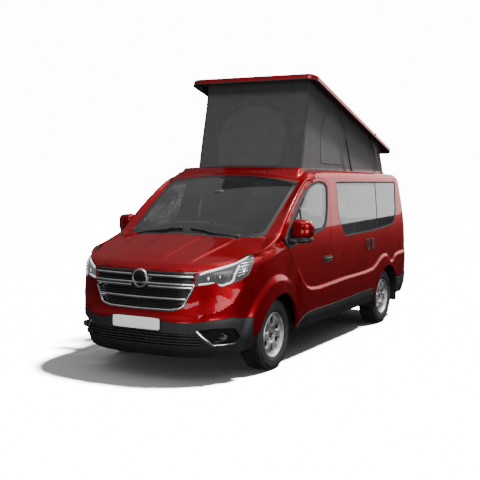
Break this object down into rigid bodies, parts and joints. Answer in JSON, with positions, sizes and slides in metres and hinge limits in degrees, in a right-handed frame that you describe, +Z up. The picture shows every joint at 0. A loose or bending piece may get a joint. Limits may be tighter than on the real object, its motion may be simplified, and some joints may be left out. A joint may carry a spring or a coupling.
{
  "type": "camper van with pop-up roof",
  "caption": "Short camper van in deep red with a raised tilting pop-up roof and canvas tent, opening cab doors, bonnet and tailgate, steered front wheels.",
  "frame": {"origin": "on the ground, at the middle of the bounding box", "axes": "+Y towards the tail, so the van faces -Y; +X towards the van's left side; +Z up"},
  "size_m": [2.282, 5.0823, 2.9954],
  "materials": {
    "body_red": "deep metallic red, clear coated",
    "dark_trim": "grained dark grey plastic",
    "grille_black": "gloss black with bright bars",
    "lamp_glass": "clear lamp cover",
    "tail_lamp": "red lamp cover",
    "glass": "tinted window glass",
    "interior": "dark interior plastic",
    "seat_cloth": "dark grey woven cloth",
    "cabinet_board": "light grey laminated board",
    "chassis": "black coated steel",
    "engine": "plain engine block",
    "tyre": "black rubber",
    "rim": "silver cast wheel",
    "canvas": "charcoal tent canvas",
    "roof_shell": "raised roof shell",
    "steel": "bright steel"
  },
  "bodies": {
    "body": {"floor_pan": "chassis", "side_left": "body_red", "side_right": "body_red", "roof_panel": "body_red", "roof_fittings": "body_red", "wings": "body_red", "front_bumper": "body_red", "grille": "grille_black", "headlamps": "lamp_glass", "rear_bumper": "body_red", "tail_lamps": "tail_lamp", "windscreen": "glass", "side_glass": "glass", "sliding_door": "body_red", "sill_trims": "dark_trim", "dashboard": "interior", "front_seats": "seat_cloth", "rear_bench": "seat_cloth", "cabinet": "cabinet_board", "engine_block": "engine", "front_subframe": "chassis", "rear_axle": "chassis", "underbody": "chassis", "wipers": "dark_trim", "aerial": "dark_trim", "canvas": "canvas"},
    "door_left": {"door_left": "body_red", "door_glass_left": "glass", "mirror_left": "body_red"},
    "door_right": {"door_right": "body_red", "door_glass_right": "glass", "mirror_right": "body_red"},
    "bonnet": {"bonnet": "body_red"},
    "tailgate": {"tailgate": "body_red", "tailgate_glass": "glass"},
    "pop_roof": {"pop_roof": "roof_shell"},
    "strut_cylinders": {"strut_cylinders": "dark_trim"},
    "strut_rods": {"strut_rods": "steel"},
    "lower_stays": {"lower_stays": "steel"},
    "upper_stays": {"upper_stays": "steel"},
    "steering_wheel": {"steering_wheel": "interior"},
    "knuckle_left": {"knuckle_left": "chassis"},
    "knuckle_right": {"knuckle_right": "chassis"},
    "wheel_front_left": {"tyre_front_left": "tyre", "rim_front_left": "rim"},
    "wheel_front_right": {"tyre_front_right": "tyre", "rim_front_right": "rim"},
    "wheel_rear_left": {"tyre_rear_left": "tyre", "rim_rear_left": "rim"},
    "wheel_rear_right": {"tyre_rear_right": "tyre", "rim_rear_right": "rim"}
  },
  "joints": [
    {"name": "door_left_hinge", "type": "hinge", "parent": "body", "child": "door_left", "pos_m": [0.962, -1.45, 0.9], "axis": [0, 0, 1], "range_deg": [-60, 0]},
    {"name": "door_right_hinge", "type": "hinge", "parent": "body", "child": "door_right", "pos_m": [-0.962, -1.45, 0.9], "axis": [0, 0, 1], "range_deg": [0, 60]},
    {"name": "bonnet_hinge", "type": "hinge", "parent": "body", "child": "bonnet", "pos_m": [0, -1.585, 1.275], "axis": [1, 0, 0], "range_deg": [-50, 0]},
    {"name": "tailgate_hinge", "type": "hinge", "parent": "body", "child": "tailgate", "pos_m": [0, 2.392, 1.84], "axis": [1, 0, 0], "range_deg": [0, 80]},
    {"name": "roof_lift", "type": "hinge", "parent": "body", "child": "pop_roof", "pos_m": [0, 3.16, 1.931], "axis": [1, 0, 0], "range_deg": [0, 15.6], "deforming": ["canvas"]},
    {"name": "strut_swing", "type": "hinge", "parent": "body", "child": "strut_cylinders", "pos_m": [0.69, 0.992, 1.947], "axis": [1, 0, 0], "range_deg": [0, 61.87]},
    {"name": "strut_slide", "type": "slide", "parent": "strut_cylinders", "child": "strut_rods", "axis": [0, -0.4417, 0.8971], "range_m": [-0.34315, 0]},
    {"name": "lower_stay_fold", "type": "hinge", "parent": "body", "child": "lower_stays", "pos_m": [0.677, 2.049, 1.947], "axis": [1, 0, 0], "range_deg": [0, 54.06]},
    {"name": "upper_stay_fold", "type": "hinge", "parent": "pop_roof", "child": "upper_stays", "pos_m": [0.69, 1.655, 2.38], "axis": [1, 0, 0], "range_deg": [0, 24.1]},
    {"name": "steering_column", "type": "hinge", "parent": "body", "child": "steering_wheel", "pos_m": [0.43, -1.115, 1.085], "axis": [0, 0.76, 0.65], "range_deg": [-480, 480]},
    {"name": "steer_left", "type": "hinge", "parent": "body", "child": "knuckle_left", "pos_m": [0.72, -1.526, 0.345], "axis": [0, 0, 1], "range_deg": [-32, 32]},
    {"name": "steer_right", "type": "hinge", "parent": "body", "child": "knuckle_right", "pos_m": [-0.72, -1.526, 0.345], "axis": [0, 0, 1], "range_deg": [-32, 32]},
    {"name": "spin_front_left", "type": "hinge", "parent": "knuckle_left", "child": "wheel_front_left", "pos_m": [0.8075, -1.526, 0.345], "axis": [1, 0, 0], "continuous": true},
    {"name": "spin_front_right", "type": "hinge", "parent": "knuckle_right", "child": "wheel_front_right", "pos_m": [-0.8075, -1.526, 0.345], "axis": [1, 0, 0], "continuous": true},
    {"name": "spin_rear_left", "type": "hinge", "parent": "body", "child": "wheel_rear_left", "pos_m": [0.814, 1.572, 0.345], "axis": [1, 0, 0], "continuous": true},
    {"name": "spin_rear_right", "type": "hinge", "parent": "body", "child": "wheel_rear_right", "pos_m": [-0.814, 1.572, 0.345], "axis": [1, 0, 0], "continuous": true}
  ],
  "couplings": [
    {"joint": "steer_right", "follows": "steer_left", "ratio": 1},
    {"joint": "steering_column", "follows": "steer_left", "ratio": 15},
    {"joint": "strut_swing", "follows": "roof_lift", "ratio": 3.9663},
    {"joint": "strut_slide", "follows": "roof_lift", "m_per_rad": -1.2603},
    {"joint": "lower_stay_fold", "follows": "roof_lift", "ratio": 3.4655},
    {"joint": "upper_stay_fold", "follows": "roof_lift", "ratio": 1.5452}
  ]
}
